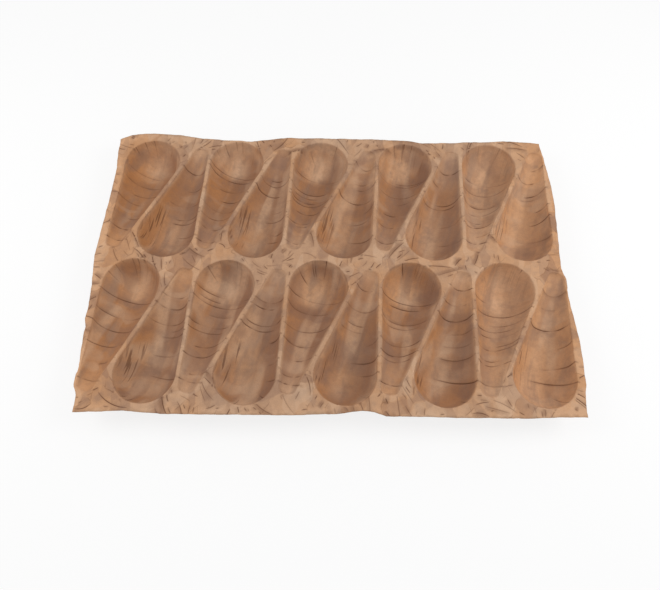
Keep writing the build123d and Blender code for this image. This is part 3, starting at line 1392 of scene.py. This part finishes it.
@dataclass
class Tray:
    """The whole pressed board.

    Attributes:
        form, finish: Sizes of a pocket, and the board's material.
        wall, height: The board's thickness, and its top over the surface it stands on, mm.
        pairs, rows: Head-to-tail pairs in a row, and rows of them.
        head_to_tail: Between the two big ends of a pair along Y, mm.
        diagonal_ridge, upright_ridge, row_ridge: Board between the pockets of a pair, between
            pairs and between rows, mm.
        lean, shift: A pocket's axis from the Y axis, degrees, and the pattern's middle, mm.
        half_size: Half the sheet's length and width, mm.
        folds_wanted: How many folds the flange has.
        side_strip: Where the short sides' strips begin, mm from the middle.
        edge_band: How far the cut edge's colour reaches in, mm.
    """

    form: PocketForm = PocketForm()
    finish: KraftFinish = KraftFinish()
    wall: float = 1.2
    height: float = 34.2
    pairs: int = 5
    rows: int = 2
    head_to_tail: float = 113.0
    diagonal_ridge: float = 5.9
    upright_ridge: float = 5.4
    row_ridge: float = 4.0
    lean: float = 14.1
    shift: float = 2.0
    half_size: tuple[float, float] = (300.0, 200.0)
    folds_wanted: int = 220
    side_strip: float = 272.0
    edge_band: float = 16.0

    def pockets(self) -> list[Pocket]:
        """Places the pockets, from the same values as the CAD model's pattern.

        Returns:
            All pockets, pair by pair and row by row.
        """
        lean, taper, wide = math.radians(self.lean), self.form.taper, 2 * self.form.big_radius
        slant, steep, apart = lean + taper, lean - taper, self.head_to_tail
        step = (wide + self.diagonal_ridge - apart * math.sin(slant)) / math.cos(slant)
        pitch = wide + self.upright_ridge + apart * math.sin(steep)
        pitch = step + pitch / math.cos(steep)
        found = []
        for row in range(self.rows):
            middle = ((self.rows - 1) / 2 - row) * (apart + wide + self.row_ridge)
            for pair in range(self.pairs):
                left = self.shift + (pair - (self.pairs - 1) / 2) * pitch - step / 2
                seed = 100 * row + 10 * pair
                far, near = (left, middle + apart / 2), (left + step, middle - apart / 2)
                found.append(Pocket(self.form, Heading.FAR, far, lean, seed + 1))
                found.append(Pocket(self.form, Heading.NEAR, near, lean, seed + 2))
        return found

    def folds(self, pockets: list[Pocket], edge: Array) -> list[Fold]:
        """Draws folds on the flange, mostly square to its sides, neighbours nearly parallel.

        Args:
            pockets: The pockets.
            edge: The cut edge in plan.

        Returns:
            Folds that keep apart from each other.
        """
        rng = np.random.default_rng(77)
        spots = rng.uniform((-296, -198), (296, 198), (7000, 2))
        spots = spots[FlangeMaker(pockets, edge).on_flange(spots, 0.6)]
        found: list[Fold] = []
        for spot, sway in zip(spots, Noise.SWAY.at(spots)):
            length = rng.uniform(10, 42) if rng.uniform() < 0.6 else rng.uniform(5, 12)
            if abs(spot[0]) > self.side_strip:
                turn = rng.normal(0.24 * math.pi * sway, 0.3)
            else:
                turn = rng.normal(math.pi / 2 + 0.7 * math.pi * sway, 0.22)
            half = np.array([math.cos(turn), math.sin(turn)]) * length / 2
            bow, shade = rng.normal(0.0, 0.07) * length, 1.8 * rng.uniform() ** 3
            depth = rng.uniform(0.1, 0.65)
            fold = Fold(tuple(spot - half), tuple(spot + half), bow, depth, shade)
            if not any(fold.touches(other) for other in found):
                found.append(fold)
            if len(found) == self.folds_wanted:
                break
        return found

    def waves(self, plan: Array) -> Array:
        """Height of the flange's waves and crumples at places of the plan, mm."""
        broad = Noise.BROAD.at(plan) * 0.25
        crumpled = folded_noise(plan, 17.0, 22) * 0.42
        fine = folded_noise(plan, 9.0, 23) * 0.14
        return 0.9 * np.tanh((broad + crumpled + fine) / 0.9)

    def edge_share(self, plan: Array, edge: Array) -> Array:
        """How near places are to the cut edge: 1 on it, 0 inside its band, less at the right."""
        found = np.full(len(plan), np.inf)
        close = (np.abs(plan) > np.array(self.half_size) - 30.0).any(axis=1)
        found[close] = nearest(plan[close], edge)
        left = smooth(-235.0, -285.0, plan[:, 0])
        return smooth(self.edge_band, 0.0, found) * (0.3 + 0.7 * left)

    def fold_cut(self, plan: Array, folds: list[Fold]) -> tuple[Array, Array]:
        """How strongly the flange's folds press and paint shade into places of the plan.

        Across a fold its mark is a hump, and along it the square root of a parabola, so that
            it tapers to both ends. The painted shade beside it is a wider such hump.

        Args:
            plan: The places, mm.
            folds: The folds.

        Returns:
            The marks, which press the fold in and paint shade into it, from 0 to about 1, and the
            painted shade beside them, from 0 to the folds' strongest.
        """
        cut, shade = np.zeros(len(plan)), np.zeros(len(plan))
        for fold in folds:
            share, aside = fold.offsets(plan)
            ends = np.sqrt(np.clip(4.0 * share * (1.0 - share), 0.0, 1.0))
            cut = np.maximum(cut, hump(aside, 0.55) * ends * (0.35 + 1.2 * fold.depth))
            shade = np.maximum(shade, hump(aside - 1.8, 2.2) * ends * fold.shade)
        return cut, shade

    def side(
        self, pockets: list[Pocket], edge: Array, face: Fineness, folds: list[Fold]
    ) -> Surface:
        """One face of the board: every pocket's patch and the flange between them.

        Args:
            pockets: The pockets.
            edge: The cut edge in plan.
            face: How finely it is built.
            folds: Folds pressed into the flange.

        Returns:
            The face, with the cut edge as its border.
        """
        patches = [PatchMaker(pocket, face).patch() for pocket in pockets]
        rings = [patch.points[patch.border][:, :2] for patch in patches]
        flange = FlangeMaker(pockets, edge, face.flange_step, folds)
        plan, triangles, source = flange.build(rings, 5)
        known = sum(len(ring) for ring in rings)
        on_ring = (source >= 0) & (source < known)
        on_edge = (source >= known) & (source < known + len(edge))
        inner = plan[~on_ring]
        count = len(inner)
        free = Surface(
            points=np.column_stack([inner, np.full(count, -face.thickness)]),
            faces=[],
            values=np.zeros((count, len(LAYERS))),
            local=np.column_stack([inner, np.zeros(count)]),
            border=np.empty(0, int),
        )
        whole, starts = stacked([*patches, free])
        ids, border = np.empty(len(plan), int), np.empty(len(edge), int)
        ring_ids = [start + patch.border for start, patch in zip(starts, patches)]
        ids[on_ring] = np.concatenate(ring_ids)[source[on_ring]]
        ids[~on_ring] = starts[-1] + np.arange(count)
        border[source[on_edge] - known] = ids[on_edge]
        whole.faces.extend(tuple(triangle) for triangle in ids[triangles].tolist())
        return replace(whole, border=border)

    def joined(self, top: Surface, under: Surface) -> Surface:
        """Joins both faces of the board by the cut edge between them.

        Args:
            top: The upper face.
            under: The underside, which keeps only its layer "inside".

        Returns:
            The closed surface.
        """
        only_inside = [float(name == "inside") for name in LAYERS]
        turned = [face[::-1] for face in under.faces]
        under = replace(under, faces=turned, values=under.values * only_inside)
        whole, starts = stacked([top, under])
        upper, lower = top.border, under.border + starts[1]
        strip = [upper, lower, np.roll(lower, -1), np.roll(upper, -1)]
        whole.faces.extend(tuple(quad) for quad in np.stack(strip, axis=1).tolist())
        return whole

    def build(self) -> bpy.types.Object:
        """Builds the board as one closed mesh and dresses it.

        Returns:
            The object that stands for the CAD node.
        """
        pockets = self.pockets()
        edge = Outline().points(pockets)
        folds = self.folds(pockets, edge)
        log.info("%d pockets, %d folds in the flange", len(pockets), len(folds))
        top = self.side(pockets, edge, Fineness(), folds)
        plain = Fineness(
            thickness=self.wall, wall_rows=6, rim_rows=2, side_step=8.0, fan_columns=20,
            tip_columns=6, flange_step=8.0, folded=False,
        )
        whole = self.joined(top, self.side(pockets, edge, plain, []))
        points, values, plan = whole.points, whole.values, whole.points[:, :2].copy()
        flatness = smooth(0.95, 0.0, values[:, LAYERS.index("inside")])
        above = flatness * (np.arange(len(points)) < len(top.points))
        cut, shade = (part * above for part in self.fold_cut(plan, folds))
        # the flange folds' painted shade goes into the layers crease and shade
        for name, found in (("crease", cut), ("shade", shade)):
            column = values[:, LAYERS.index(name)]
            column[:] = np.maximum(column, found)
        bend = np.stack([Noise.BEND_X.at(plan), Noise.BEND_Y.at(plan)], axis=1)
        calm = smooth(0.0, 12.0, np.array(self.half_size) - np.abs(plan)).prod(axis=1)
        points[:, :2] += bend * calm[:, None]
        points[:, 2] += self.height + self.waves(plan) * flatness - 0.45 * cut
        points[:, 2] = np.maximum(points[:, 2], 0.02)
        return self.dressed(whole, self.edge_share(plan, edge))

    def dressed(self, whole: Surface, rim: Array) -> bpy.types.Object:
        """Turns the board into an object with its attributes and its material.

        Args:
            whole: The closed surface.
            rim: How near each point is to the cut edge.

        Returns:
            The object.
        """
        mesh = bpy.data.meshes.new("tray_board")
        mesh.from_pydata((whole.points * MM).tolist(), [], whole.faces)
        mesh.update()
        for name, found in (*zip(LAYERS, whole.values.T), ("rim", rim)):
            layer = mesh.attributes.new(name, "FLOAT", "POINT")
            layer.data.foreach_set("value", found.astype(np.float32))
        layer = mesh.attributes.new("local", "FLOAT_VECTOR", "POINT")
        layer.data.foreach_set("vector", (whole.local * MM).astype(np.float32).ravel())
        mesh.polygons.foreach_set("use_smooth", np.ones(len(mesh.polygons), bool))
        mesh.materials.append(self.finish.material())
        board = placed("tray_board", mesh)
        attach(board, "root")
        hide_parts("tray")
        mesh.calc_loop_triangles()
        counts = len(whole.points), len(mesh.loop_triangles)
        log.info("tray_board: %d points, %d triangles", *counts)
        return board


def placed(name: str, data: bpy.types.ID) -> bpy.types.Object:
    """Makes an object of a mesh, a light or a camera and puts it into the scene."""
    made = bpy.data.objects.new(name, data)
    bpy.context.scene.collection.objects.link(made)
    return made


@dataclass(frozen=True)
class Lamp:
    """A square soft light that looks at the tray.

    Attributes:
        name, place: Its name, and where it is, m.
        power, size: Its power in watts, and its side, m.
    """

    name: str
    place: Place
    power: float
    size: float = 0.5

    def build(self) -> None:
        """Adds the light."""
        data = bpy.data.lights.new(self.name, "AREA")
        data.size, data.energy = self.size, self.power
        lamp = placed(self.name, data)
        lamp.location = self.place
        lamp.rotation_mode = "QUATERNION"
        lamp.rotation_quaternion = (-Vector(self.place)).to_track_quat("-Z", "Y")
        log.info("light %s", self.name)


@dataclass(frozen=True)
class Studio:
    """White floor, a soft lamp at each short side, white surroundings, and the camera.

    Attributes:
        focal_px, width_px: The camera's focal length and the picture's width in pixels.
        pitch, yaw, roll: Degrees that the camera looks down, is turned and is rolled.
        aim, distance: Where it looks on the plane of the rims, and from how far, mm.
        floor_half, floor_z: Half the floor's side and its height, m.
        glow, ambient: How much of the floor shows plain white, and the white world's strength.
        lamps: The lights.
    """

    focal_px: float = 566.119
    width_px: int = 660
    pitch: float = 64.772
    yaw: float = 0.474
    roll: float = 1.222
    aim: Place = (0.159, -49.753, 34.2)
    distance: float = 698.603
    floor_half: float = 6.0
    floor_z: float = -0.0003
    glow: float = 0.8
    ambient: float = 0.60
    lamps: tuple[Lamp, ...] = (
        Lamp("left", (-0.74, 0.03, 0.72), 2.8), Lamp("right", (0.78, 0.05, 0.72), 3.7),
    )

    def camera(self) -> None:
        """Places the camera."""
        pitch, yaw, roll = (math.radians(a) for a in (self.pitch, self.yaw, self.roll))
        level = Vector((math.sin(yaw), math.cos(yaw), 0.0)) * math.cos(pitch)
        forward = level - Vector((0.0, 0.0, math.sin(pitch)))
        right = Vector((math.cos(yaw), -math.sin(yaw), 0.0))
        up = right.cross(forward)
        across = right * math.cos(roll) + up * math.sin(roll)
        upward = up * math.cos(roll) - right * math.sin(roll)
        data = bpy.data.cameras.new("camera")
        data.sensor_width = 36.0
        data.lens = self.focal_px * data.sensor_width / self.width_px
        data.clip_start, data.clip_end = 0.01, 20.0
        camera = placed("camera", data)
        eye = (Vector(self.aim) - forward * self.distance) * MM
        turn = Matrix((across, upward, -forward)).transposed().to_4x4()
        camera.matrix_world = Matrix.Translation(eye) @ turn
        bpy.context.scene.camera = camera
        log.info("camera at %s", [round(v, 3) for v in eye])

    def paper(self) -> bpy.types.Material:
        """Makes white paper that takes shadows and yet shows nearly white to the camera.

        Returns:
            The floor's material.
        """
        made = bpy.data.materials.new("paper")
        made.use_nodes = True
        tools = ShaderTools(made.node_tree)
        shader = made.node_tree.nodes["Principled BSDF"]
        tools.feed(shader.inputs["Base Color"], (0.93, 0.93, 0.93, 1.0))
        tools.feed(shader.inputs["Roughness"], 0.9)
        tools.feed(shader.inputs["Specular IOR Level"], 0.1)
        rays = tools.node("ShaderNodeLightPath").outputs
        seen = tools.maths("MAXIMUM", rays["Is Camera Ray"], rays["Is Glossy Ray"])
        seen = tools.maths("MAXIMUM", seen, rays["Is Transmission Ray"])
        white = tools.node("ShaderNodeEmission").outputs[0]
        blend = tools.node("ShaderNodeMixShader")
        parts = (tools.product(seen, self.glow), shader.outputs[0], white)
        for socket, part in zip(blend.inputs, parts):
            tools.feed(socket, part)
        tools.feed(made.node_tree.nodes["Material Output"].inputs[0], blend.outputs[0])
        return made

    def floor(self) -> None:
        """Lays the floor."""
        half = self.floor_half
        mesh = bpy.data.meshes.new("floor")
        corners = [(-half, -half, 0), (half, -half, 0), (half, half, 0), (-half, half, 0)]
        mesh.from_pydata(corners, [], [(0, 1, 2, 3)])
        mesh.materials.append(self.paper())
        floor = placed("floor", mesh)
        floor.location = (0.0, 0.0, self.floor_z)
        log.info("floor laid")

    def build(self) -> None:
        """Builds the floor, the surroundings, the lights and the camera."""
        self.floor()
        world = bpy.data.worlds.new("surroundings")
        bpy.context.scene.world = world
        world.use_nodes = True
        back = world.node_tree.nodes["Background"]
        back.inputs["Color"].default_value = (1.0, 1.0, 1.0, 1.0)
        back.inputs["Strength"].default_value = self.ambient
        for lamp in self.lamps:
            lamp.build()
        bpy.context.scene.view_settings.view_transform = "Standard"
        self.camera()


def main() -> None:
    """Builds the tray, then the studio."""
    tray = Tray().build()
    log.info("built %s", tray.name)
    Studio().build()
    bpy.context.view_layer.update()


if __name__ == "__main__":
    main()
